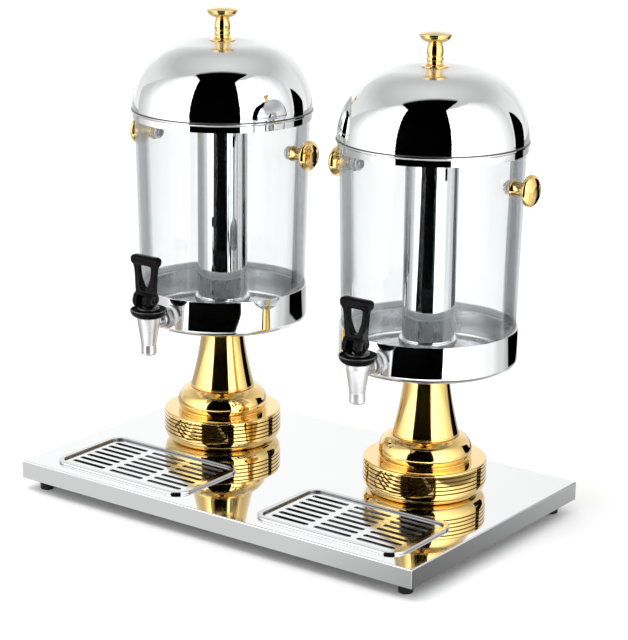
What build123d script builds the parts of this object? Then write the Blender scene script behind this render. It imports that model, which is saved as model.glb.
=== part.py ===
"""Double drinks dispenser: two clear tanks on turned pedestals over a shared folded base."""
from build123d import *
import math
import os

# ---------------------------------------------------------------- driving sizes (mm)
# The origin is on the floor under the middle of the base; taps point to -Y; +Z is up.
BASE_X = 570.0
BASE_Y = 350.0
FOOT_H = 15.0                      # rubber foot below the skirt
SKIRT_H = 22.0
DECK_Z = FOOT_H + SKIRT_H          # top face of the base
SHEET = 1.5                        # folded base sheet
TAB = 36.0                         # corner tab that carries a foot
FOOT_INSET = 21.0
FOOT_R = 9.0

UNIT_X = 152.0                     # each tank stands this far from the middle
UNIT_Y = 48.0
SIDES = {"left": -1, "right": 1}

DISC_R = 72.5                      # grooved foot of the pedestal
DISC_H = 40.0
DISC_TUCK = 14.0                   # radius of its rounded lower edge
GROOVES = 5
GROOVE_PITCH = 4.75
BULB_R = 55.5
BULB_H = 28.0
NECK_FOOT_R = 40.0
NECK_TOP_R = 24.0
ROD_R = 5.0                        # M10 clamp rod
ROD_HOLE_R = 5.4

CUP_R = 103.4                      # steel cup under the clear tank
CUP_WALL = 1.2
CUP_BOTTOM_Z = 194.5
CUP_TOP_Z = 238.0
CUP_CORNER_R = 7.0
CUP_PLATEAU_R = 66.0               # raised middle of the cup floor
CUP_PLATEAU_RISE = 7.5
GASKET = 2.0

TANK_BOTTOM_Z = 231.0
TANK_TOP_Z = 449.0
TANK_BOTTOM_R = 100.9
TANK_TOP_R = 106.0
TANK_WALL = 3.0

TUBE_R = 30.5                      # ice tube in the middle of the tank
TUBE_WALL = 1.0
TUBE_TOP_Z = 446.0
TUBE_FOOT_R = 34.0
TUBE_FOOT_TOP_Z = 222.0

RIM_Z = 453.0                      # middle of the bead round the lid
RIM_R = 110.0
LID_WALL = 1.2
DOME_H = 83.0
DOME_ROUND = 3.58                  # superellipse exponents of the dome outline
DOME_RISE = 1.74

KNOB_Z = RIM_Z + DOME_H            # lid knob stands on the top of the dome
KNOB_H = 40.0
KNOB_R = 18.7
SIDE_KNOB_Z = 412.0
SIDE_CAP_R = 18.2
SIDE_CAP_X = 130.0                 # widest ring of the cap from the tank axis
SIDE_CAP_HALF = 7.5
SIDE_STEM_R = 9.6

TAP_Y = -140.0                     # spout axis from the tank axis
TAP_Z = 215.0                      # shank axis
SPOUT_Z = 177.0                    # lowest point of the spout
OUTLET_R = 6.4
SEAT_Z = 198.0
SHANK_R = 6.2
BONNET_Z = 223.0
POST_Z = 235.0                     # face that the handle's cam bears on
CAM_R = 10.0
CAM_OFFSET = 7.0
CAM_GAP = 0.3
PIN_Z = POST_Z + CAM_R + CAM_GAP
PIN_R = 2.0
STEM_R = 2.5
RUN_FIT = 0.05                     # radial clearance of a running fit

TRAY_X = 200.0
TRAY_Y = 120.0
TRAY_FRONT_Y = -157.0
TRAY_LIP = 3.0
TRAY_LIP_W = 5.0
TRAY_LEDGE_Z = 34.0
TRAY_BOTTOM_Z = 19.0
TRAY_WALL = 1.2
TRAY_CORNER = 20.0
GRILLE_T = 2.0
GRILLE_ROWS = 7
GRILLE_COLUMNS = 3
SLOT_LENGTH = 51.0
SLOT_WIDTH = 6.6
SLOT_PITCH_X = 59.0
SLOT_PITCH_Y = 13.0

TRAY_MID_Y = TRAY_FRONT_Y + TRAY_Y / 2


# ---------------------------------------------------------------- helpers
def lathe(*edges):
    """Solid of revolution about Z from edges drawn as (radius, height)."""
    return revolve(Plane.XZ * make_face(list(edges)), Axis.Z)


def turned(*points):
    """Solid of revolution about Z from a closed outline of straight lines."""
    return revolve(Plane.XZ * make_face(Polyline(*points, close=True)), Axis.Z)


def disc(radius, low, high):
    """Plain upright cylinder between two heights."""
    return Pos(0, 0, (low + high) / 2) * Cylinder(radius, high - low)


def ring(outer, inner, low, high):
    """Upright ring between two heights."""
    return disc(outer, low, high) - disc(inner, low - 1, high + 1)


def bar(radius, start, end):
    """Cylinder between two points."""
    foot = Vector(*start)
    path = Vector(*end) - foot
    rod = extrude(Circle(radius), path.length)
    return Plane(origin=foot, z_dir=path) * rod


def cap_arc(radius, foot, rise):
    """Shallow spherical cap outline from its edge up to the axis."""
    ball = (radius ** 2 + rise ** 2) / (2 * rise)
    middle = foot + rise - ball + math.sqrt(ball ** 2 - radius ** 2 / 4)
    return ThreePointArc((radius, foot), (radius / 2, middle), (0, foot + rise))


def plate(width, depth, corner, low, high):
    """Rounded rectangular block between two heights."""
    outline = RectangleRounded(width, depth, corner)
    return Pos(0, 0, low) * extrude(outline, high - low)


def hexagon(across_flats, low, high):
    """Upright hexagonal block."""
    outline = RegularPolygon(across_flats / 2, 6, major_radius=False)
    return Pos(0, 0, low) * extrude(outline, high - low)


def along_y(shape, x=0.0, y=0.0, z=0.0):
    """Turn a shape made about +Z so that it lies about +Y, and place it."""
    return Pos(x, y, z) * Rot(-90, 0, 0) * shape


def along_x(shape, sign, z):
    """Turn a shape made about +Z so that it points to +X or -X at height z."""
    return Pos(0, 0, z) * Rot(0, 90 * sign, 0) * shape


def tank_radius(z):
    """Outer radius of the tapered tank at a height."""
    share = (z - TANK_BOTTOM_Z) / (TANK_TOP_Z - TANK_BOTTOM_Z)
    return TANK_BOTTOM_R + share * (TANK_TOP_R - TANK_BOTTOM_R)


def dome_points(radius, height, base, steps=14):
    """Flat-topped dome outline from its foot to the axis."""
    points = []
    for step in range(steps + 1):
        angle = math.pi / 2 * step / steps
        across = radius * math.cos(angle) ** (2 / DOME_ROUND)
        up = height * math.sin(angle) ** (2 / DOME_RISE)
        points.append((max(across, 0.0), base + up))
    points[-1] = (0.0, base + height)
    return points


# ---------------------------------------------------------------- shared base
def base_plate():
    """Folded steel tray, upside down, with corner tabs for the feet."""
    shell = plate(BASE_X, BASE_Y, 0.8, FOOT_H, DECK_Z)
    shell = fillet(shell.faces().sort_by(Axis.Z)[-1].edges(), SHEET)
    inside = plate(BASE_X - 2 * SHEET, BASE_Y - 2 * SHEET, 0.4, FOOT_H - 1, DECK_Z - SHEET)
    shell -= inside
    for x, y in foot_places():
        tab_x = math.copysign(BASE_X / 2 - SHEET - TAB / 2, x)
        tab_y = math.copysign(BASE_Y / 2 - SHEET - TAB / 2, y)
        tab = Box(TAB + 0.2, TAB + 0.2, SHEET)
        shell += Pos(tab_x, tab_y, FOOT_H + SHEET / 2) * tab
        shell -= Pos(x, y, 0) * disc(2.2, FOOT_H - 1, FOOT_H + SHEET + 1)
    opening = plate(TRAY_X - 8, TRAY_Y - 8, TRAY_CORNER - 4, DECK_Z - 5, DECK_Z + 1)
    rod_hole = disc(ROD_HOLE_R, DECK_Z - 5, DECK_Z + 1)
    for sign in SIDES.values():
        shell -= Pos(sign * UNIT_X, TRAY_MID_Y, 0) * opening
        shell -= Pos(sign * UNIT_X, UNIT_Y, 0) * rod_hole
    return shell


def foot_places():
    """The four foot axes."""
    x = BASE_X / 2 - FOOT_INSET
    y = BASE_Y / 2 - FOOT_INSET
    return [(x, y), (-x, y), (-x, -y), (x, -y)]


def rubber_foot():
    """Tapered foot with a counterbore for its screw."""
    body = turned((0, 0), (FOOT_R - 1.4, 0), (FOOT_R - 0.9, 0.6), (FOOT_R, FOOT_H), (0, FOOT_H))
    return body - disc(2.2, -1, FOOT_H + 1) - disc(4.6, -1, 6)


def foot_screw():
    """M4 screw up through the foot and the tab."""
    return disc(2.0, 6, FOOT_H + 8) + disc(3.9, 3.4, 6)


def foot_nut():
    """M4 nut on the tab."""
    return hexagon(7, FOOT_H + SHEET, FOOT_H + SHEET + 3.2) - disc(2.0, FOOT_H, FOOT_H + 8)


# ---------------------------------------------------------------- pedestal
def disc_wall(top):
    """Upright wall of the disc, from its foot up, with a V groove between each two rings."""
    points = [(DISC_R, DECK_Z + DISC_TUCK)]
    for index in reversed(range(GROOVES)):
        middle = top - 5.2 - GROOVE_PITCH * index
        points += [(DISC_R, middle - 0.8), (DISC_R - 1.3, middle), (DISC_R, middle + 0.8)]
    return points + [(DISC_R, top - 2.4)]


def pedestal_disc():
    """Grooved foot with a rounded lower edge and a hollow underside."""
    top = DECK_Z + DISC_H
    inset = DISC_TUCK * (1 - math.sin(math.pi / 4))
    edges = [
        Line((0, DECK_Z), (DISC_R - DISC_TUCK, DECK_Z)),
        ThreePointArc((DISC_R - DISC_TUCK, DECK_Z), (DISC_R - inset, DECK_Z + inset),
                      (DISC_R, DECK_Z + DISC_TUCK)),
        Polyline(*disc_wall(top)),
        ThreePointArc((DISC_R, top - 2.4), (DISC_R - 0.7, top - 0.7), (DISC_R - 2.4, top)),
        Line((DISC_R - 2.4, top), (0, top)),
        Line((0, top), (0, DECK_Z)),
    ]
    body = lathe(*edges) - disc(50, DECK_Z - 1, DECK_Z + 26)
    return body - disc(ROD_HOLE_R, DECK_Z, top + 1)


def pedestal_bulb():
    """Turned bulge with a thin lip at its foot."""
    low = DECK_Z + DISC_H
    top = low + BULB_H
    shoulder = (NECK_FOOT_R + 0.6, top)
    edges = [
        Line((0, low), (BULB_R - 1.2, low)),
        ThreePointArc((BULB_R - 1.2, low), (BULB_R - 0.6, low + 0.8), (BULB_R - 1.6, low + 1.6)),
        Spline((BULB_R - 1.6, low + 1.6), (BULB_R, low + 10), (BULB_R - 2.2, low + 17.5),
               (BULB_R - 7.4, low + 24), shoulder),
        Line(shoulder, (0, top)),
        Line((0, top), (0, low)),
    ]
    body = lathe(*edges) - disc(34, low - 1, top - 6)
    return body - disc(ROD_HOLE_R, low, top + 1)


def pedestal_neck():
    """Flared neck from a thin foot ring up into the underside of the cup."""
    low = DECK_Z + DISC_H + BULB_H
    top = CUP_BOTTOM_Z + CUP_PLATEAU_RISE - GASKET
    foot_top = low + 2.8
    edges = [
        Line((0, low), (NECK_FOOT_R - 1.3, low)),
        ThreePointArc((NECK_FOOT_R - 1.3, low), (NECK_FOOT_R, low + 1.4),
                      (NECK_FOOT_R - 0.8, foot_top)),
        ThreePointArc((NECK_FOOT_R - 0.8, foot_top), (32.0, low + 33), (NECK_TOP_R, top)),
        Line((NECK_TOP_R, top), (0, top)),
        Line((0, top), (0, low)),
    ]
    body = lathe(*edges) - disc(19, low - 1, top - 8)
    return body - disc(ROD_HOLE_R, low, top + 1)


def clamp_rod():
    """M10 rod that draws base, pedestal, cup and ice tube together."""
    return disc(ROD_R, DECK_Z - SHEET - 12, CUP_BOTTOM_Z + CUP_PLATEAU_RISE + 16)


def clamp_nut():
    """Flanged nut under the deck."""
    top = DECK_Z - SHEET
    return ring(11, ROD_R, top - 2, top) + (hexagon(16, top - 9, top - 2) - disc(ROD_R, top - 10, top))


# ---------------------------------------------------------------- tank
def cup_outline(inset):
    """Cup section edges from the axis out to the rim, moved inwards by inset."""
    plateau_z = CUP_BOTTOM_Z + CUP_PLATEAU_RISE + inset
    floor_z = CUP_BOTTOM_Z + inset
    step_r = CUP_PLATEAU_R + inset
    wall_r = CUP_R - inset
    corner = CUP_CORNER_R - inset
    side = corner * math.sin(math.pi / 4)
    mid = (wall_r - corner + side, floor_z + corner - side)
    return [
        Line((0, plateau_z), (step_r - 3, plateau_z)),
        Line((step_r - 3, plateau_z), (step_r + 5, floor_z)),
        Line((step_r + 5, floor_z), (wall_r - corner, floor_z)),
        ThreePointArc((wall_r - corner, floor_z), mid, (wall_r, floor_z + corner)),
        Line((wall_r, floor_z + corner), (wall_r, CUP_TOP_Z)),
    ]


def cup_block(inset):
    """Filled cup shape, used for the outside and the inside."""
    edges = cup_outline(inset)
    plateau_z = CUP_BOTTOM_Z + CUP_PLATEAU_RISE + inset
    edges.append(Line((CUP_R - inset, CUP_TOP_Z), (0, CUP_TOP_Z)))
    edges.append(Line((0, CUP_TOP_Z), (0, plateau_z)))
    return lathe(*edges)


def tank_cup():
    """Drawn steel cup with a stepped floor, a rod hole and a tap hole."""
    cup = cup_block(0) - cup_block(CUP_WALL)
    cup = fillet(cup.edges().filter_by(GeomType.CIRCLE).group_by(Axis.Z)[-1], 0.45)
    cup -= disc(ROD_HOLE_R, CUP_BOTTOM_Z, CUP_BOTTOM_Z + 30)
    return cup - bar(8.2, (0, TAP_Y, TAP_Z), (0, -CUP_PLATEAU_R - 20, TAP_Z))


def cup_gasket():
    """Rubber washer between neck and cup."""
    high = CUP_BOTTOM_Z + CUP_PLATEAU_RISE
    return ring(NECK_TOP_R - 0.8, ROD_HOLE_R, high - GASKET, high)


def tank_seal():
    """Silicone ring that carries the clear tank in the cup."""
    bore = CUP_R - CUP_WALL
    outline = [
        (TANK_BOTTOM_R - TANK_WALL - 0.6, TANK_BOTTOM_Z - 2),
        (bore, TANK_BOTTOM_Z - 2),
        (bore, CUP_TOP_Z - 0.8),
        (tank_radius(CUP_TOP_Z - 0.8), CUP_TOP_Z - 0.8),
        (TANK_BOTTOM_R, TANK_BOTTOM_Z),
        (TANK_BOTTOM_R - TANK_WALL - 0.6, TANK_BOTTOM_Z),
    ]
    return turned(*outline)


def tank_cone(inset, low, high):
    """Solid tapered tank shape, moved inwards by inset."""
    low_r = tank_radius(low) - inset
    high_r = tank_radius(high) - inset
    return turned((0, low), (low_r, low), (high_r, high), (0, high))


def clear_tank():
    """Tapered clear wall, open at both ends, with two knob holes."""
    wall = tank_cone(0, TANK_BOTTOM_Z, TANK_TOP_Z)
    wall -= tank_cone(TANK_WALL, TANK_BOTTOM_Z - 1, TANK_TOP_Z + 1)
    wall = fillet(wall.edges().filter_by(GeomType.CIRCLE).group_by(Axis.Z)[-1], 0.9)
    return wall - bar(3, (-SIDE_CAP_X, 0, SIDE_KNOB_Z), (SIDE_CAP_X, 0, SIDE_KNOB_Z))


def ice_tube():
    """Closed steel tube on a stepped foot, with two slots under its rim."""
    foot_low = CUP_BOTTOM_Z + CUP_PLATEAU_RISE + CUP_WALL + GASKET
    foot = disc(TUBE_FOOT_R, foot_low, TUBE_FOOT_TOP_Z)
    foot = fillet(foot.edges().group_by(Axis.Z)[-1], 1.6)
    tube = foot + disc(TUBE_R, TUBE_FOOT_TOP_Z - 1, TUBE_TOP_Z)
    tube -= disc(TUBE_R - TUBE_WALL, TUBE_FOOT_TOP_Z - 0.5, TUBE_TOP_Z + 1)
    tube -= disc(ROD_R, foot_low - 1, CUP_BOTTOM_Z + CUP_PLATEAU_RISE + 16)
    slot = extrude(SlotOverall(14, 3, rotation=90), 80, both=True)
    return tube - Pos(0, 0, TUBE_TOP_Z - 28) * Rot(0, 0, 65) * Rot(90, 0, 0) * slot


def ice_tube_seal():
    """Silicone washer under the foot of the ice tube."""
    low = CUP_BOTTOM_Z + CUP_PLATEAU_RISE + CUP_WALL
    return ring(TUBE_FOOT_R - 0.5, ROD_R + 1, low, low + GASKET)


# ---------------------------------------------------------------- lid
def lid():
    """Domed steel lid with a bead, an outer skirt and an inner seat ring."""
    dome_foot = RIM_Z + 2.4
    outer = dome_points(RIM_R - 1.2, DOME_H - 2.4, dome_foot)
    inner = dome_points(RIM_R - 1.2 - LID_WALL, DOME_H - 2.4 - LID_WALL, dome_foot)
    skirt_low = TANK_TOP_Z - 5.5
    skirt_r = TANK_TOP_R + 1.0 + LID_WALL
    seat_z = TANK_TOP_Z + 0.3
    edges = [
        Spline(*outer, tangents=[(0, 1), (-1, 0)]),
        Line(outer[-1], inner[-1]),
        Spline(*inner, tangents=[(0, 1), (-1, 0)]),
        Line(inner[0], (inner[0][0], seat_z + LID_WALL)),
        Line((inner[0][0], seat_z + LID_WALL), (TANK_TOP_R - 6, seat_z + LID_WALL)),
        Line((TANK_TOP_R - 6, seat_z + LID_WALL), (TANK_TOP_R - 6, seat_z)),
        Line((TANK_TOP_R - 6, seat_z), (skirt_r - LID_WALL, seat_z)),
        Line((skirt_r - LID_WALL, seat_z), (skirt_r - LID_WALL, skirt_low)),
        Line((skirt_r - LID_WALL, skirt_low), (skirt_r, skirt_low)),
        Line((skirt_r, skirt_low), (skirt_r, RIM_Z - 2.2)),
        ThreePointArc((skirt_r, RIM_Z - 2.2), (RIM_R, RIM_Z), outer[0]),
    ]
    return lathe(*edges) - disc(2.7, KNOB_Z - 10, KNOB_Z + 5)


def lid_knob():
    """Turned knob: base flange, beaded stem and a nearly flat cap."""
    base = KNOB_Z
    rim = base + KNOB_H - 2.4
    edges = [
        Line((0, base), (14.9, base)),
        ThreePointArc((14.9, base), (15.5, base + 0.8), (14.8, base + 1.6)),
        ThreePointArc((14.8, base + 1.6), (10.2, base + 3.0), (8.8, base + 6.0)),
        ThreePointArc((8.8, base + 6.0), (9.8, base + 9.0), (8.9, base + 12.0)),
        ThreePointArc((8.9, base + 12.0), (9.7, base + 18.5), (8.6, base + 25.0)),
        ThreePointArc((8.6, base + 25.0), (8.0, base + 26.5), (8.8, base + 28.0)),
        ThreePointArc((8.8, base + 28.0), (15.0, base + 30.2), (KNOB_R - 0.5, rim - 2.4)),
        ThreePointArc((KNOB_R - 0.5, rim - 2.4), (KNOB_R, rim - 1.0), (KNOB_R - 0.7, rim)),
        cap_arc(KNOB_R - 0.7, rim, 2.4),
        Line((0, base + KNOB_H), (0, base)),
    ]
    return lathe(*edges) - disc(2.5, base - 1, base + 14)


def lid_knob_screw():
    """M5 screw with a broad head inside the dome."""
    under = KNOB_Z - LID_WALL
    return disc(2.5, under - 1, KNOB_Z + 14) + disc(6.5, under - 3, under)


# ---------------------------------------------------------------- side knobs
def side_knob():
    """Turned side knob about +Z: beaded stem and a thick lens-shaped cap."""
    foot = tank_radius(SIDE_KNOB_Z) + 1.0
    stem_end = SIDE_CAP_X - SIDE_CAP_HALF
    end = SIDE_CAP_X + SIDE_CAP_HALF
    cap = Spline(
        (8.6, stem_end + 0.4), (14.2, stem_end + 2.6), (SIDE_CAP_R, SIDE_CAP_X), (14.2, end - 2.6),
        (8.6, end - 0.75), (0, end), tangents=[(1, 0.15), (-1, 0)],
    )
    bead = SIDE_STEM_R - 0.6
    edges = [
        Line((0, foot), (bead, foot)),
        ThreePointArc((bead, foot), (SIDE_STEM_R, foot + 1.4), (bead, foot + 2.8)),
        ThreePointArc((bead, foot + 2.8), (8.0, foot + 8.5), (8.6, stem_end + 0.4)),
        cap,
        Line((0, end), (0, foot)),
    ]
    return lathe(*edges) - disc(2.5, foot - 1, foot + 14)


def side_screw():
    """M5 screw about +Z from inside the tank into the knob."""
    inner = tank_radius(SIDE_KNOB_Z) - TANK_WALL - 2.0
    return disc(2.5, inner - 1, inner + 18) + disc(5, inner - 3, inner)


def side_knobs():
    """Both knobs of one tank."""
    return [along_x(side_knob(), sign, SIDE_KNOB_Z) for sign in (1, -1)]


def side_screws():
    """Both knob screws of one tank."""
    return [along_x(side_screw(), sign, SIDE_KNOB_Z) for sign in (1, -1)]


def side_washers():
    """Silicone washers shaped to the wall, one outside and one inside for each knob."""
    wall_r = tank_radius(SIDE_KNOB_Z)
    solid_out = tank_cone(0, TANK_BOTTOM_Z, TANK_TOP_Z)
    solid_in = tank_cone(TANK_WALL, TANK_BOTTOM_Z, TANK_TOP_Z)
    washers = []
    outer = ring(8.0, 2.5, wall_r - 3, wall_r + 1.0)
    inner = ring(8.0, 2.5, wall_r - TANK_WALL - 2.0, wall_r)
    for sign in (1, -1):
        washers.append(along_x(outer, sign, SIDE_KNOB_Z) - solid_out)
        washers.append(along_x(inner, sign, SIDE_KNOB_Z) & solid_in)
    return washers


# ---------------------------------------------------------------- tap
def tap_body():
    """Tapered spout and horizontal threaded shank with a hexagon flange."""
    spout = [
        Line((0, SPOUT_Z), (7.8, SPOUT_Z)),
        ThreePointArc((7.8, SPOUT_Z), (8.8, SPOUT_Z + 0.7), (9.2, SPOUT_Z + 2)),
        Line((9.2, SPOUT_Z + 2), (9.0, SPOUT_Z + 12)),
        ThreePointArc((9.0, SPOUT_Z + 12), (10.8, SPOUT_Z + 24), (13.3, BONNET_Z - 6)),
        Line((13.3, BONNET_Z - 6), (13.9, BONNET_Z)),
        Line((13.9, BONNET_Z), (0, BONNET_Z)),
        Line((0, BONNET_Z), (0, SPOUT_Z)),
    ]
    body = Pos(0, TAP_Y, 0) * lathe(*spout)
    hex_face = -CUP_R - 3.0
    body += bar(SHANK_R, (0, TAP_Y, TAP_Z), (0, hex_face, TAP_Z))
    body += bar(8.0, (0, hex_face - 1, TAP_Z), (0, -86, TAP_Z))
    body += bar(10.0, (0, hex_face - 14, TAP_Z), (0, hex_face - 11, TAP_Z))
    body += along_y(hexagon(23, 0, 8.5), 0, hex_face - 8.5, TAP_Z)
    body += bar(13.2, (0, hex_face - 1.6, TAP_Z), (0, hex_face, TAP_Z))
    body -= Pos(0, TAP_Y, 0) * disc(OUTLET_R, SPOUT_Z - 1, SEAT_Z + 1)
    body -= Pos(0, TAP_Y, 0) * disc(9.6, SEAT_Z + 2.5, BONNET_Z + 1)
    seat = turned((0, SEAT_Z), (OUTLET_R, SEAT_Z), (9.6, SEAT_Z + 2.5), (0, SEAT_Z + 2.5))
    body -= Pos(0, TAP_Y, 0) * seat
    return body - bar(4.5, (0, TAP_Y, TAP_Z), (0, -80, TAP_Z))


def tap_locknut():
    """Round-cornered nut on the shank inside the cup."""
    nut = fillet(hexagon(21, 0, 6).edges().filter_by(Axis.Z), 1.0)
    nut -= disc(8.0, -1, 7)
    return along_y(nut, 0, -CUP_R + CUP_WALL + 2.8, TAP_Z)


def tap_washers():
    """Silicone washers shaped to the cup, outside and inside."""
    outer = along_y(ring(13.0, 8.0, 0, 6), 0, -CUP_R - 3.0, TAP_Z)
    inner = along_y(ring(10.0, 8.0, 0, 6), 0, -CUP_R - 3.2 + CUP_WALL, TAP_Z)
    return [outer - cup_block(0), inner & cup_block(CUP_WALL)]


def tap_collar():
    """Thin dished bonnet with a post that guides the stem."""
    rim = BONNET_Z + 9.6
    edges = [
        Line((0, BONNET_Z), (14.8, BONNET_Z)),
        ThreePointArc((14.8, BONNET_Z), (19.8, BONNET_Z + 3.2), (22.0, rim)),
        Line((22.0, rim), (20.8, rim + 0.5)),
        ThreePointArc((20.8, rim + 0.5), (18.4, BONNET_Z + 5.4), (13.4, BONNET_Z + 3)),
        Line((13.4, BONNET_Z + 3), (13.4, POST_Z - 0.8)),
        Line((13.4, POST_Z - 0.8), (12.6, POST_Z)),
        Line((12.6, POST_Z), (0, POST_Z)),
        Line((0, POST_Z), (0, BONNET_Z)),
    ]
    body = lathe(*edges) - disc(STEM_R + RUN_FIT, BONNET_Z - 1, POST_Z + 1)
    return Pos(0, TAP_Y, 0) * body


def tap_stem():
    """Valve rod with a flat eye for the handle's pin."""
    rod = disc(STEM_R, SEAT_Z + 1.6, PIN_Z - 3)
    eye = Pos(0, 0, PIN_Z) * Box(8.6, 8, 9)
    eye = fillet(eye.edges().filter_by(Axis.X), 2.5)
    stem = rod + eye - Pos(0, 0, PIN_Z) * Rot(0, 90, 0) * Cylinder(PIN_R, 30)
    return Pos(0, TAP_Y, 0) * stem


def tap_seat():
    """Silicone plug on the foot of the rod."""
    low = SEAT_Z + 0.5
    plug = turned((0, low), (OUTLET_R - 0.2, low), (8.9, low + 2.0), (8.9, low + 4), (6, low + 5),
                  (0, low + 5))
    return Pos(0, TAP_Y, 0) * (plug - disc(STEM_R, SEAT_Z + 1.6, SEAT_Z + 10))


def tap_spring():
    """Closing spring between the plug and the bonnet."""
    low = SEAT_Z + 6.2
    high = BONNET_Z - 0.7
    wire = 0.55
    coil_r = 5.6
    path = Helix(pitch=(high - low) / 4.5, height=high - low, radius=coil_r)
    section = Plane(origin=path @ 0, z_dir=path % 0) * Circle(wire)
    return Pos(0, TAP_Y, low) * sweep(section, path=path)


def tap_pin():
    """Hinge pin through the rod's eye and both cheeks of the handle."""
    return Pos(0, TAP_Y, PIN_Z) * Rot(0, 90, 0) * Cylinder(PIN_R, 20.2)


def handle_front():
    """Front outline of the handle, hub to grip bar."""
    low = PIN_Z - CAM_R - 3
    grip = PIN_Z + 43.5
    top = PIN_Z + 53.0
    waist = Spline((10.4, PIN_Z + 5), (12.6, PIN_Z + 15), (14.6, PIN_Z + 26), (16.0, PIN_Z + 36.5),
                   (19.0, grip))
    return make_face([
        Line((-10.4, low), (10.4, low)),
        Line((10.4, low), (10.4, PIN_Z + 5)),
        waist,
        Line((19.0, grip), (19.5, top - 4)),
        ThreePointArc((19.5, top - 4), (18.4, top - 1.1), (15.5, top)),
        Line((15.5, top), (-15.5, top)),
        ThreePointArc((-15.5, top), (-18.4, top - 1.1), (-19.5, top - 4)),
        Line((-19.5, top - 4), (-19.0, grip)),
        mirror(waist, Plane.YZ),
        Line((-10.4, PIN_Z + 5), (-10.4, low)),
    ])


def handle_side():
    """Side outline of the handle about its pin: cam, hub, thin loop and thick grip bar."""
    arm = Polygon((-12, 2), (5.0, 2), (1.6, 14), (0, 26), (-0.6, 41), (1.4, 44.5), (1.4, 50),
                  (-1, 53), (-6.5, 53), (-9, 50), (-9, 44.5), (-6.8, 41), (-7.2, 26),
                  (-9.4, 12), align=None)
    return Pos(-CAM_OFFSET, 0) * Circle(CAM_R) + Circle(7) + arm


def handle_loop():
    """Finger opening, rounded and narrower at its foot."""
    top = PIN_Z + 41.5
    side = Spline((9.8, top - 3.2), (9.0, PIN_Z + 28), (5.2, PIN_Z + 14.8))
    return make_face([
        Line((-6.8, top), (6.8, top)),
        ThreePointArc((6.8, top), (9.0, top - 1), (9.8, top - 3.2)),
        side,
        ThreePointArc((5.2, PIN_Z + 14.8), (0, PIN_Z + 11.0), (-5.2, PIN_Z + 14.8)),
        mirror(side, Plane.YZ),
        ThreePointArc((-9.8, top - 3.2), (-9.0, top - 1), (-6.8, top)),
    ])


def tap_handle():
    """Black loop handle: cam hub on the pin, waisted loop and a thick grip bar."""
    slab = extrude(Plane.XZ * handle_front(), 30, both=True)
    side_view = Plane(origin=(0, 0, PIN_Z), x_dir=(0, 1, 0), z_dir=(1, 0, 0))
    handle = slab & side_view * extrude(handle_side(), 25, both=True)
    handle -= extrude(Plane.XZ * handle_loop(), 40, both=True)
    handle -= Pos(0, 0, PIN_Z - 3) * Box(9.4, 60, 20)
    handle -= Pos(0, 0, PIN_Z) * Rot(0, 90, 0) * Cylinder(PIN_R + RUN_FIT, 40)
    return Pos(0, TAP_Y, 0) * handle


# ---------------------------------------------------------------- drip tray
def drip_tray():
    """Pan with a rolled lip on the deck and a ledge for the grille."""
    lip_in_x = TRAY_X - 2 * TRAY_LIP_W
    lip_in_y = TRAY_Y - 2 * TRAY_LIP_W
    lip_low = DECK_Z + 0.3
    lip_top = DECK_Z + TRAY_LIP
    well_x = lip_in_x - 8.0
    well_y = lip_in_y - 8.0
    well_corner = TRAY_CORNER - TRAY_LIP_W - 4
    lip = plate(TRAY_X, TRAY_Y, TRAY_CORNER, lip_low, lip_top)
    lip = fillet(lip.faces().sort_by(Axis.Z)[-1].edges(), 1.2)
    pan = lip + plate(lip_in_x, lip_in_y, TRAY_CORNER - TRAY_LIP_W, TRAY_LEDGE_Z, lip_top)
    pan += plate(well_x, well_y, well_corner, TRAY_BOTTOM_Z, TRAY_LEDGE_Z)
    wall = 2 * TRAY_WALL
    corner = TRAY_CORNER - TRAY_LIP_W - TRAY_WALL
    pan -= plate(lip_in_x - wall, lip_in_y - wall, corner, TRAY_LEDGE_Z + TRAY_WALL, lip_top + 1)
    pan -= plate(well_x - wall, well_y - wall, well_corner - TRAY_WALL,
                 TRAY_BOTTOM_Z + TRAY_WALL, TRAY_LEDGE_Z + 5)
    return Pos(0, TRAY_MID_Y - UNIT_Y, 0) * pan


def drip_grille():
    """Slotted plate that lies in the tray."""
    low = TRAY_LEDGE_Z + TRAY_WALL + 0.3
    size_x = TRAY_X - 2 * TRAY_LIP_W - 2 * TRAY_WALL - 1.4
    size_y = TRAY_Y - 2 * TRAY_LIP_W - 2 * TRAY_WALL - 1.4
    grille = plate(size_x, size_y, TRAY_CORNER - TRAY_LIP_W - TRAY_WALL - 0.7, low, low + GRILLE_T)
    grille = fillet(grille.faces().sort_by(Axis.Z)[-1].outer_wire().edges(), 0.8)
    places = GridLocations(SLOT_PITCH_X, SLOT_PITCH_Y, GRILLE_COLUMNS, GRILLE_ROWS)
    slots = Sketch() + places * SlotOverall(SLOT_LENGTH, SLOT_WIDTH)
    grille -= Pos(0, 0, low - 1) * extrude(slots, GRILLE_T + 2)
    return Pos(0, TRAY_MID_Y - UNIT_Y, 0) * grille


# ---------------------------------------------------------------- assembly
def as_list(shape):
    """One shape or several, always as a list."""
    return list(shape) if isinstance(shape, (list, tuple)) else [shape]


def write(name, shapes):
    """Write one node; several solids stay separate in one file."""
    solids = []
    for shape in shapes:
        solids.extend(shape.solids())
    export_step(Compound(children=solids) if len(solids) > 1 else solids[0], f"parts/{name}.step")


UNIT_PARTS = [
    pedestal_disc, pedestal_bulb, pedestal_neck, clamp_rod, clamp_nut,
    tank_cup, cup_gasket, tank_seal, clear_tank, ice_tube, ice_tube_seal,
    lid, lid_knob, lid_knob_screw, side_knobs, side_screws, side_washers,
    tap_body, tap_locknut, tap_washers, tap_collar, tap_handle, tap_pin,
    tap_stem, tap_seat, tap_spring, drip_tray, drip_grille,
]

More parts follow.
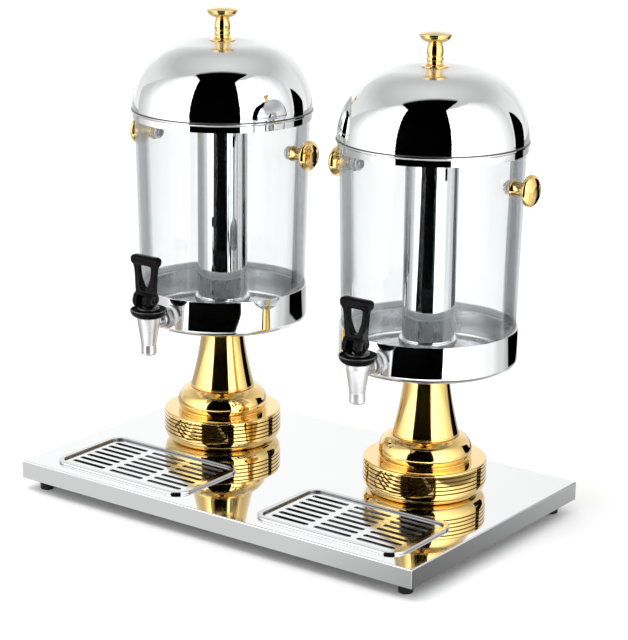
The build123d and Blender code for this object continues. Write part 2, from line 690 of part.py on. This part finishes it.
os.makedirs("parts", exist_ok=True)
write("base_plate", [base_plate()])
FEET = {"rubber_feet": rubber_foot, "foot_screws": foot_screw, "foot_nuts": foot_nut}
for name, make in FEET.items():
    write(name, [Pos(x, y, 0) * make() for x, y in foot_places()])
for make in UNIT_PARTS:
    shapes = as_list(make())
    for side, sign in SIDES.items():
        write(f"{side}_{make.__name__}", [Pos(sign * UNIT_X, UNIT_Y, 0) * shape for shape in shapes])
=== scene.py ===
"""Looks of the double drinks dispenser: materials, light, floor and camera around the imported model."""
import math

import bpy
from mathutils import Matrix, Vector


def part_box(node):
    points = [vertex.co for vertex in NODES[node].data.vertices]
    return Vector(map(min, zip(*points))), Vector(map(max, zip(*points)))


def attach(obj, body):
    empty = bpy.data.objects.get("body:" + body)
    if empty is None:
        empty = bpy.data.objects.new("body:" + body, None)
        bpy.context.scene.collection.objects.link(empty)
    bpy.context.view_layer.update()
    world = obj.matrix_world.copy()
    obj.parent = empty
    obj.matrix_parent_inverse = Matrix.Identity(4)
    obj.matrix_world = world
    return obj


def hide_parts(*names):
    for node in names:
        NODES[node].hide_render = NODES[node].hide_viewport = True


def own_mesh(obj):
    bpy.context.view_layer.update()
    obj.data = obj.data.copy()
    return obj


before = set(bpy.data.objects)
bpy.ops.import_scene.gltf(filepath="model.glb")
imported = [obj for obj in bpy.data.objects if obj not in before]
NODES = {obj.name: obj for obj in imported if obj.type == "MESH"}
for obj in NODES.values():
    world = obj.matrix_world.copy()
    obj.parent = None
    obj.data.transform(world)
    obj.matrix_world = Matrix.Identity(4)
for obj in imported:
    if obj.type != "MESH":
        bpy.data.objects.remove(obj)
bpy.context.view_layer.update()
SIDES = ("left", "right")

# A noise's values lie mostly between these two.
NOISE_LOW, NOISE_HIGH = 0.3, 0.7

# Sockets of the Mix node when it mixes colours.
MIX_SHARE, MIX_ONE, MIX_OTHER, MIX_COLOUR_OUT = 0, 6, 7, 2

# Depths of bump marks, in metres.
LINE_DEPTH = 0.0002
FINE_DEPTH = 0.0001

# Softened edges of the black plastic: their width, how sharp an edge has to be in degrees, and how near two
# corners of the mesh lie to count as one.
SOFT_EDGE = 0.0007
SHARP_ANGLE = 38
WELD_REACH = 0.00001


# ---------------------------------------------------------------- node helpers
class Paint:
    """A material with a Principled shader and short calls for its nodes."""

    def __init__(self, name, **values):
        self.material = bpy.data.materials.new(name)
        self.material.use_nodes = True
        self.tree = self.material.node_tree
        self.shader = self.tree.nodes["Principled BSDF"]
        for socket, value in values.items():
            self.shader.inputs[socket.replace("_", " ")].default_value = value

    def node(self, kind, **inputs):
        made = self.tree.nodes.new(kind)
        for socket, value in inputs.items():
            self.put(made, socket.replace("_", " "), value)
        return made

    def put(self, node, socket, value):
        """Set a socket to a value, or link another node's output to it."""
        if isinstance(value, bpy.types.NodeSocket):
            self.tree.links.new(value, node.inputs[socket])
        else:
            node.inputs[socket].default_value = value

    def maths(self, kind, a, b=0.0):
        made = self.tree.nodes.new("ShaderNodeMath")
        made.operation = kind
        self.put(made, 0, a)
        self.put(made, 1, b)
        return made.outputs[0]

    def place(self):
        """The object's own coordinates, in metres."""
        return self.tree.nodes.new("ShaderNodeTexCoord").outputs["Object"]

    def turned(self, centre, along=1.0, round_the_axis=0.0):
        """Coordinates that run along a lathe's cut: radius, a little of the angle, and height."""
        split = self.node("ShaderNodeSeparateXYZ", Vector=self.place())
        x = self.maths("SUBTRACT", split.outputs["X"], centre[0])
        y = self.maths("SUBTRACT", split.outputs["Y"], centre[1])
        squares = self.maths("ADD", self.maths("MULTIPLY", x, x), self.maths("MULTIPLY", y, y))
        radius = self.maths("SQRT", squares)
        angle = self.maths("MULTIPLY", self.maths("ARCTAN2", y, x), round_the_axis)
        join = self.node("ShaderNodeCombineXYZ", X=self.maths("MULTIPLY", radius, along),
                         Y=angle, Z=self.maths("MULTIPLY", split.outputs["Z"], along))
        return join.outputs[0]

    def scaled(self, x, y, z):
        made = self.node("ShaderNodeMapping", Vector=self.place())
        made.inputs["Scale"].default_value = (x, y, z)
        return made.outputs[0]

    def noise(self, vector, scale, detail=3.0):
        made = self.node("ShaderNodeTexNoise", Vector=vector, Scale=scale, Detail=detail)
        return made.outputs["Fac"]

    def spread(self, value, low, high, start=NOISE_LOW, end=NOISE_HIGH):
        """Spread the value's span from start to end over low to high."""
        made = self.node("ShaderNodeMapRange", Value=value)
        made.inputs["From Min"].default_value = start
        made.inputs["From Max"].default_value = end
        made.inputs["To Min"].default_value = low
        made.inputs["To Max"].default_value = high
        return made.outputs["Result"]

    def mixed(self, share, one, other):
        made = self.tree.nodes.new("ShaderNodeMix")
        made.data_type = "RGBA"
        self.put(made, MIX_SHARE, share)
        made.inputs[MIX_ONE].default_value = (*one, 1)
        made.inputs[MIX_OTHER].default_value = (*other, 1)
        return made.outputs[MIX_COLOUR_OUT]

    def bump(self, height, strength, distance):
        made = self.node("ShaderNodeBump", Height=height, Strength=strength, Distance=distance)
        self.put(self.shader, "Normal", made.outputs[0])

    def colour(self, share, one, other):
        self.put(self.shader, "Base Color", self.mixed(share, one, other))

    def roughness(self, value, low, high):
        self.put(self.shader, "Roughness", self.spread(value, low, high))


def sheet_steel(name, tint, gloss, lines):
    """Polished flat sheet with faint polishing lines along X and soft smears."""
    paint = Paint(name, Metallic=1.0)
    smears = paint.noise(paint.scaled(1, 1, 1), 14.0, 4.0)
    grain = paint.noise(paint.scaled(18, 900, 900), 1.0, 2.0)
    paint.colour(smears, tint, tuple(c * 0.97 for c in tint))
    paint.roughness(smears, gloss * 0.7, gloss * 1.4)
    paint.bump(grain, lines, LINE_DEPTH)
    return paint.material


def turned_metal(name, centre, tint, shade, gloss, lines, dull_radius=0.0, lacquer=0.0):
    """Polished turned metal with faint cut lines round the axis, and duller within dull_radius of it."""
    dullest = 0.42
    all_dull = 0.2 * dull_radius
    paint = Paint(name, Metallic=1.0, Coat_Weight=lacquer, Coat_IOR=2.2, Coat_Roughness=0.05)
    smears = paint.noise(paint.scaled(1, 1, 1), 22.0, 4.0)
    cuts = paint.noise(paint.turned(centre, 1600.0, 1.5), 1.0, 2.0)
    paint.colour(smears, tint, shade)
    rough = paint.spread(smears, gloss * 0.6, gloss * 1.5)
    if dull_radius:
        split = paint.node("ShaderNodeSeparateXYZ", Vector=paint.turned(centre))
        dull = paint.spread(split.outputs["X"], dullest, 0.0, all_dull, dull_radius)
        rough = paint.maths("MAXIMUM", rough, dull)
    paint.put(paint.shader, "Roughness", rough)
    paint.bump(cuts, lines, LINE_DEPTH)
    return paint.material


def clear_plastic():
    """Clear moulded tank wall with faint flow marks: darker and glossier where it is seen at a slant."""
    least_gloss, slant_gloss = 0.02, 0.6
    paint = Paint("clear_plastic", Metallic=1.0)
    flow = paint.noise(paint.scaled(5, 5, 1.2), 3.0, 2.0)
    paint.colour(flow, (0.9, 0.91, 0.92), (0.84, 0.85, 0.86))
    paint.roughness(flow, 0.02, 0.05)
    paint.bump(paint.noise(paint.scaled(1, 1, 0.3), 16.0, 1.0), 0.05, 2 * LINE_DEPTH)
    slant = paint.tree.nodes.new("ShaderNodeLayerWeight")
    slant.inputs["Blend"].default_value = 0.12
    tint = paint.mixed(slant.outputs["Facing"], (0.957, 0.962, 0.964), (0.9, 0.91, 0.92))
    through = paint.node("ShaderNodeBsdfTransparent", Color=tint)
    both = paint.node("ShaderNodeMixShader")
    gloss = paint.maths("ADD", paint.maths("MULTIPLY", slant.outputs["Fresnel"], slant_gloss), least_gloss)
    paint.put(both, 0, gloss)
    paint.put(both, 1, through.outputs[0])
    paint.put(both, 2, paint.shader.outputs[0])
    paint.put(paint.tree.nodes["Material Output"], "Surface", both.outputs[0])
    return paint.material


def black_plastic(name, dark, light, spec):
    """Moulded black plastic: semi-gloss with a fine texture."""
    paint = Paint(name, Metallic=0.0, Specular_IOR_Level=spec)
    cloud = paint.noise(paint.scaled(1, 1, 1), 60.0, 4.0)
    paint.colour(cloud, (dark, dark, dark), (light, light, light))
    paint.roughness(cloud, 0.08, 0.15)
    paint.bump(paint.noise(paint.scaled(1, 1, 1), 2600.0, 2.0), 0.03, FINE_DEPTH)
    return paint.material


def black_rubber():
    """Matte rubber with a faint bloom."""
    paint = Paint("black_rubber", Metallic=0.0, Specular_IOR_Level=0.3)
    cloud = paint.noise(paint.scaled(1, 1, 1), 90.0, 5.0)
    paint.colour(cloud, (0.004, 0.004, 0.004), (0.012, 0.012, 0.012))
    paint.roughness(cloud, 0.55, 0.8)
    paint.bump(paint.noise(paint.scaled(1, 1, 1), 1800.0, 2.0), 0.2, LINE_DEPTH)
    return paint.material


def silicone():
    """Milky silicone of the seals, with a faint skin."""
    paint = Paint("silicone", Metallic=0.0, IOR=1.41)
    cloud = paint.noise(paint.scaled(1, 1, 1), 70.0, 3.0)
    paint.colour(cloud, (0.88, 0.88, 0.87), (0.8, 0.8, 0.79))
    paint.roughness(cloud, 0.32, 0.48)
    paint.bump(paint.noise(paint.scaled(1, 1, 1), 900.0, 2.0), 0.1, FINE_DEPTH)
    return paint.material


def satin_steel(name, tint, gloss, centre=None):
    """Duller sheet inside cups and pans, with brush marks that run round the axis if there is one."""
    paint = Paint(name, Metallic=1.0)
    smears = paint.noise(paint.scaled(1, 1, 1), 26.0, 5.0)
    track = paint.turned(centre, 500.0, 3.0) if centre else paint.scaled(30, 700, 700)
    marks = paint.noise(track, 1.0, 3.0)
    paint.colour(marks, tint, tuple(c * 0.86 for c in tint))
    paint.roughness(smears, gloss * 0.8, gloss * 1.3)
    paint.bump(marks, 0.12, LINE_DEPTH)
    return paint.material


def put_on(node, material):
    """Give a CAD node one material on all its faces."""
    mesh = NODES[node].data
    mesh.materials.clear()
    mesh.materials.append(material)
    for face in mesh.polygons:
        face.material_index = 0
        face.use_smooth = True


def put_between(node, material, low, high, wanted=None):
    """A second material between two heights, on the faces that wanted(centre, normal) picks."""
    mesh = NODES[node].data
    mesh.materials.append(material)
    for face in mesh.polygons:
        if low < face.center.z < high and (wanted is None or wanted(face.center, face.normal)):
            face.material_index = len(mesh.materials) - 1


def inward(axis):
    """Picks faces that look up or towards an upright axis."""
    return lambda place, out: out.z > 0.5 or (place.x - axis.x) * out.x + (place.y - axis.y) * out.y < 0


def nearer(axis, radius):
    """Picks faces nearer to an upright axis than a radius."""
    return lambda place, out: math.hypot(place.x - axis.x, place.y - axis.y) < radius


def soften(node, edge_highlight):
    """Round a node's sharp edges in the render, and give the rounds a lighter, glossier material: a painted
    highlight along the edges.
    """
    NODES[node].data.materials.append(edge_highlight)
    weld = NODES[node].modifiers.new("joined", "WELD")
    weld.merge_threshold = WELD_REACH
    bevel = NODES[node].modifiers.new("soft_edges", "BEVEL")
    bevel.width = SOFT_EDGE
    bevel.segments = 2
    bevel.limit_method = "ANGLE"
    bevel.angle_limit = math.radians(SHARP_ANGLE)
    bevel.harden_normals = True
    bevel.material = len(NODES[node].data.materials) - 1


def closing_spring(side):
    """A copy of the closing spring (which shortens against the bonnet as the handle lifts the valve) with its
    own mesh, on the base's body, in place of the hidden CAD spring.
    """
    node = NODES[f"{side}_tap_spring"]
    spring = bpy.data.objects.new(f"{side}_closing_spring", node.data.copy())
    bpy.context.scene.collection.objects.link(spring)
    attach(spring, "base")
    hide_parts(f"{side}_tap_spring")
    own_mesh(spring)


# ---------------------------------------------------------------- materials
STEEL = (0.82, 0.825, 0.83)
STEEL_SHADE = (0.79, 0.795, 0.8)

# Where a second finish or a painted shade starts and ends on a node, in metres from its box.
GROOVES_FROM_FOOT = 0.012
GROOVES_FROM_TOP = 0.003
GROOVE_DEPTH = 0.0003
CUP_RIM = 0.001
TRAY_RIM = 0.0012
LID_SHADE_START = 0.0102
LID_SHADE_END = 0.012
LID_DULL_RADIUS = 0.085

sheet = sheet_steel("sheet_steel", STEEL, 0.03, 0.02)
grille_steel = sheet_steel("grille_steel", (0.8, 0.805, 0.81), 0.09, 0.06)
fastener = sheet_steel("fastener_steel", (0.6, 0.6, 0.6), 0.25, 0.1)
pin_steel = sheet_steel("pin_steel", (0.03, 0.03, 0.032), 0.35, 0.1)
# Partly a real satin finish, partly painted shade: the darker tint stands in for the grey shading on the
# tray's rim.
shaded_tray_steel = sheet_steel("shaded_tray_steel", (0.66, 0.665, 0.67), 0.1, 0.04)
# Painted shade: a dark, dull steel for the tray's pan under the grille and the inner wall of its lip.
shaded_tray_pan = satin_steel("shaded_tray_pan", (0.3, 0.3, 0.31), 0.35)
rim_shade = sheet_steel("rim_shade", (0.12, 0.12, 0.125), 0.3, 0.02)
tank_plastic = clear_plastic()
plastic = black_plastic("black_plastic", 0.002, 0.004, 0.07)
# Painted highlight: the rounded edges of the black plastic get a lighter, glossier black.
plastic_edge_highlight = black_plastic("black_plastic_edge_highlight", 0.03, 0.08, 0.5)
rubber = black_rubber()
milky = silicone()

put_on("base_plate", sheet)
put_on("rubber_feet", rubber)
put_on("foot_screws", fastener)
put_on("foot_nuts", fastener)
for side in SIDES:
    low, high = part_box(f"{side}_pedestal_disc")
    centre = (low + high) / 2
    steel = turned_metal(f"{side}_drawn_steel", centre, STEEL, STEEL_SHADE, 0.03, 0.015)
    gold = turned_metal(f"{side}_gold", centre, (0.86, 0.56, 0.1), (0.83, 0.52, 0.08), 0.07, 0.01,
                        lacquer=1.0)
    tap_low, tap_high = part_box(f"{side}_tap_pin")
    tap_centre = (tap_low + tap_high) / 2
    chrome = turned_metal(f"{side}_tap_chrome", tap_centre, (0.7, 0.705, 0.71), (0.6, 0.605, 0.61),
                          0.3, 0.03)
    for part in ("tank_cup", "ice_tube"):
        put_on(f"{side}_{part}", steel)
    put_on(f"{side}_lid", turned_metal(f"{side}_lid_steel", centre, STEEL, STEEL_SHADE, 0.03, 0.015,
                                       LID_DULL_RADIUS))
    for part in ("pedestal_disc", "pedestal_bulb", "pedestal_neck", "lid_knob", "side_knobs"):
        put_on(f"{side}_{part}", gold)
    # Painted shade: the disc's grooves get a dark gold for the shade in them.
    groove_shade = turned_metal(f"{side}_groove", centre, (0.3, 0.18, 0.03), (0.22, 0.13, 0.02), 0.3, 0.03)
    put_between(f"{side}_pedestal_disc", groove_shade, low.z + GROOVES_FROM_FOOT, high.z - GROOVES_FROM_TOP,
                nearer(centre, high.x - centre.x - GROOVE_DEPTH))
    for part in ("tap_body", "tap_locknut"):
        put_on(f"{side}_{part}", chrome)
    for part in ("tap_collar", "tap_handle"):
        put_on(f"{side}_{part}", plastic)
        soften(f"{side}_{part}", plastic_edge_highlight)
    for part in ("tank_seal", "ice_tube_seal", "side_washers", "tap_washers", "tap_seat"):
        put_on(f"{side}_{part}", milky)
    for part in ("clamp_rod", "clamp_nut", "lid_knob_screw", "side_screws", "tap_stem", "tap_spring"):
        put_on(f"{side}_{part}", fastener)
    put_on(f"{side}_tap_pin", pin_steel)
    closing_spring(side)
    cup_inside = satin_steel(f"{side}_cup_inside", (0.78, 0.785, 0.79), 0.26, centre)
    cup_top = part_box(f"{side}_tank_cup")[1].z
    put_between(f"{side}_tank_cup", cup_inside, 0.0, cup_top - CUP_RIM, inward(centre))
    lid_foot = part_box(f"{side}_lid")[0].z
    # Painted shade and reflection: a thin dark band along the lid just above its rim.
    put_between(f"{side}_lid", rim_shade, lid_foot + LID_SHADE_START, lid_foot + LID_SHADE_END)
    put_on(f"{side}_cup_gasket", rubber)
    put_on(f"{side}_clear_tank", tank_plastic)
    put_on(f"{side}_drip_tray", shaded_tray_steel)
    put_on(f"{side}_drip_grille", grille_steel)
    tray_low, tray_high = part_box(f"{side}_drip_tray")
    # Painted shade on the pan and on the inner wall of the tray's lip.
    put_between(f"{side}_drip_tray", shaded_tray_pan, tray_low.z, tray_high.z - TRAY_RIM,
                inward((tray_low + tray_high) / 2))


# ---------------------------------------------------------------- camera
AZIMUTH = math.radians(36.25)
ELEVATION = math.radians(15.79)
ROLL = math.radians(0.64)
DISTANCE = 2.5775
TARGET = Vector((0.0237, 0.0, 0.2296))
FOCAL_LENGTH = 123.7
SENSOR_WIDTH = 36.0

back = Vector((math.sin(AZIMUTH) * math.cos(ELEVATION), -math.cos(AZIMUTH) * math.cos(ELEVATION),
               math.sin(ELEVATION)))
right = Vector((math.cos(AZIMUTH), math.sin(AZIMUTH), 0.0))
up = back.cross(right)
camera_right = right * math.cos(ROLL) + up * math.sin(ROLL)
camera_up = up * math.cos(ROLL) - right * math.sin(ROLL)
lens = bpy.data.cameras.new("camera")
lens.lens = FOCAL_LENGTH
lens.sensor_width = SENSOR_WIDTH
lens.clip_end = 50.0
camera = bpy.data.objects.new("camera", lens)
camera.matrix_world = Matrix.Translation(TARGET + back * DISTANCE) @ Matrix(
    (camera_right, camera_up, back)).transposed().to_4x4()
bpy.context.scene.collection.objects.link(camera)
bpy.context.scene.camera = camera


# ---------------------------------------------------------------- stage
# Heights of the cards that lie on the floor, one over another.
RING_HEIGHT = 0.002
GREY_HEIGHT = 0.003
BLACK_HEIGHT = 0.004
WALL_ROWS = (0.0, 0.5, 1.0)
SKY_STEP = 10


def card_paint():
    """Plain light whose strength is the card's own glow at each point."""
    material = bpy.data.materials.new("studio_card")
    material.use_nodes = True
    tree = material.node_tree
    tree.nodes.remove(tree.nodes["Principled BSDF"])
    glow = tree.nodes.new("ShaderNodeAttribute")
    glow.attribute_name = "glow"
    light = tree.nodes.new("ShaderNodeEmission")
    tree.links.new(glow.outputs["Fac"], light.inputs["Strength"])
    tree.links.new(light.outputs[0], tree.nodes["Material Output"].inputs["Surface"])
    return material


CARD_PAINT = card_paint()


def card(name, points, faces, glow):
    """A studio card that only glossy reflections see; glow is its brightness, one value or one a point."""
    mesh = bpy.data.meshes.new(name)
    mesh.from_pydata([stage_point(*p) for p in points], [], faces)
    values = glow if isinstance(glow, list) else [glow] * len(points)
    mesh.attributes.new("glow", "FLOAT", "POINT").data.foreach_set("value", values)
    mesh.materials.append(CARD_PAINT)
    made = bpy.data.objects.new(name, mesh)
    bpy.context.scene.collection.objects.link(made)
    made.visible_camera = False
    made.visible_diffuse = False
    made.visible_transmission = False
    made.visible_shadow = False


def stage_point(side, forward, height):
    """A point on the stage: metres to the camera's right, towards the camera, and up."""
    return (side * math.cos(AZIMUTH) + forward * math.sin(AZIMUTH),
            side * math.sin(AZIMUTH) - forward * math.cos(AZIMUTH), height)


def beside(x, y):
    """Where a grey card's point is on the stage, from the object's own x and y."""
    return (x * math.cos(AZIMUTH) + y * math.sin(AZIMUTH), x * math.sin(AZIMUTH) - y * math.cos(AZIMUTH),
            GREY_HEIGHT)


def grid(rows, columns):
    """Faces of a sheet of points laid row by row."""
    return [(a, a + 1, a + columns + 1, a + columns) for row in range(rows - 1)
            for a in range(row * columns, row * columns + columns - 1)]


def wall(name, radius, edge, fade=None):
    """An upright curved card on the floor. edge lists (angle, top height, glow); fade is its top's glow."""
    points, glow = [], []
    for height in WALL_ROWS:
        for angle, top, shine in edge:
            turn = math.radians(angle)
            points.append((radius * math.sin(turn), radius * math.cos(turn), top * height))
            glow.append(shine if fade is None or height < 1.0 else fade)
    card(name, points, grid(len(WALL_ROWS), len(edge)), glow)


def floor_ring(inner, outer, sectors):
    """A card just above the floor, of (angle, glow) sectors."""
    points, glow = [], []
    for radius in (inner, outer):
        for angle, shine in sectors:
            turn = math.radians(angle)
            points.append((radius * math.sin(turn), radius * math.cos(turn), RING_HEIGHT))
            glow.append(shine)
    card("floor_ring", points, grid(2, len(sectors)), glow)


def sky(radius, glows):
    """The grey studio round and over everything, with a glow for each SKY_STEP degrees up."""
    points, glow = [], []
    columns = 360 // SKY_STEP + 1
    for row, shine in enumerate(glows):
        rise = math.radians(row * SKY_STEP)
        for step in range(columns):
            turn = math.radians(step * SKY_STEP)
            points.append((radius * math.cos(rise) * math.sin(turn), radius * math.cos(rise) * math.cos(turn),
                           radius * math.sin(rise)))
            glow.append(shine)
    card("studio_sky", points, grid(len(glows), columns), glow)


sky(4.5, [1.06, 1.0, 0.95, 0.9, 0.74, 0.62, 0.66, 0.74, 0.8, 0.88])
wall("white_wall_left", 2.4, [(-130, 0.7, 0.7), (-118, 1.1, 0.8), (-105, 1.6, 1.1), (-90, 2.3, 1.6),
                              (-75, 3.2, 2.2), (-60, 4.2, 2.5), (-43, 4.2, 2.8)], 0.72)
wall("white_wall_right", 2.4, [(22, 4.2, 2.8), (45, 4.4, 2.5), (62, 4.4, 1.9), (80, 3.6, 1.4), (92, 2.8, 1.1),
                               (104, 1.9, 0.8)], 0.72)
wall("white_wall_back", 4.0, [(140, 3.2, 0.84), (152, 3.4, 0.98), (166, 3.4, 1.06), (180, 3.4, 1.15),
                              (208, 3.4, 1.15), (220, 3.2, 0.9)], 0.86)
floor_ring(0.46, 3.9, [(-180, 0.75), (-165, 0.75), (-140, 0.5), (-112, 0.5), (-95, 0.8), (-75, 1.5),
                       (-60, 2.4), (-45, 2.8), (-20, 2.8), (20, 2.8), (40, 2.5), (55, 1.8), (70, 1.2),
                       (90, 0.85), (108, 0.5), (140, 0.5), (165, 0.75), (180, 0.75)])

# The wide black band in the reflections: a leaning panel, its top, which fades out, and the floor before it.
PANEL_FOOT = ((-1.44, 1.54), (0.6, 1.4))
PANEL_TOP = ((0.755, 1.76, 2.9), (-1.34, 1.43, 2.9))
ONE_FACE = [(0, 1, 2, 3)]
card("black_panel", [(*PANEL_FOOT[0], 0.0), (*PANEL_FOOT[1], 0.0), *PANEL_TOP], ONE_FACE, 0.0)
card("black_top", [PANEL_TOP[1], PANEL_TOP[0], (1.14, 0.69, 2.9), (-1.43, 0.8, 2.9), (1.1, 0.5, 2.9),
                   (-1.3, 0.62, 2.9)],
     [(0, 1, 2, 3), (3, 2, 4, 5)], [0.0, 0.0, 0.0, 0.0, 0.66, 0.66])
card("black_floor", [(-0.57, 0.37, BLACK_HEIGHT), (0.3, 0.66, BLACK_HEIGHT),
                     (*PANEL_FOOT[1], BLACK_HEIGHT), (*PANEL_FOOT[0], BLACK_HEIGHT)], ONE_FACE, 0.0)

# Painted shadow of the base on the floor in front and to the right of it: grey cards for its skirts to
# reflect.
card("floor_shade_front", [beside(-0.4, -0.34), beside(0.1, -0.34), beside(0.3, -0.34), beside(-0.4, -0.176),
                          beside(0.1, -0.176), beside(0.3, -0.176)],
     grid(2, 3), [0.78, 0.74, 0.4, 0.78, 0.74, 0.4])
card("floor_shade_right", [beside(0.287, -0.18), beside(0.287, 0.0), beside(0.287, 0.34), beside(0.45, -0.18),
                          beside(0.45, 0.0), beside(0.45, 0.34)],
     grid(2, 3), [0.15, 0.27, 0.62, 0.15, 0.27, 0.62])

# The narrow black band to the right.
card("narrow_floor", [(0.745, -0.258, BLACK_HEIGHT), (2.1, -0.64, BLACK_HEIGHT), (1.7, -1.4, BLACK_HEIGHT),
                      (0.4, -0.69, BLACK_HEIGHT)], ONE_FACE, 0.0)
wall("narrow_card", 2.2, [(105.5, 0.4, 0.0), (107, 0.8, 0.0), (111, 1.2, 0.0), (129, 0.5, 0.0)])

FLOOR_REACH = 30
floor_mesh = bpy.data.meshes.new("floor")
floor_corners = [(x * FLOOR_REACH, y * FLOOR_REACH, 0) for x, y in ((-1, -1), (1, -1), (1, 1), (-1, 1))]
floor_mesh.from_pydata(floor_corners, [], ONE_FACE)
floor = bpy.data.objects.new("floor", floor_mesh)
bpy.context.scene.collection.objects.link(floor)
floor_paint = Paint("floor_white", Metallic=0.0, Roughness=0.9, Specular_IOR_Level=0.1)
floor_cloud = floor_paint.noise(floor_paint.scaled(1, 1, 1), 3.0)
floor_paint.colour(floor_cloud, (0.93, 0.93, 0.93), (0.91, 0.91, 0.91))
floor_mesh.materials.append(floor_paint.material)

world = bpy.data.worlds.new("studio")
world.use_nodes = True
background = world.node_tree.nodes["Background"]
background.inputs["Color"].default_value = (1, 1, 1, 1)
background.inputs["Strength"].default_value = 1.1
bpy.context.scene.world = world
bpy.context.scene.view_settings.view_transform = "Standard"
bpy.context.scene.cycles.glossy_bounces = 8
bpy.context.scene.cycles.transparent_max_bounces = 24

soft = bpy.data.lights.new("soft_box", "AREA")
soft.shape = "DISK"
soft.size = 1.6
soft.energy = 25.0
soft_box = bpy.data.objects.new("soft_box", soft)
soft_box.location = (-0.5, -0.8, 2.6)
soft_box.visible_glossy = False
soft_box.rotation_euler = (Vector((0, 0, 0)) - soft_box.location).to_track_quat("-Z", "Y").to_euler()
bpy.context.scene.collection.objects.link(soft_box)
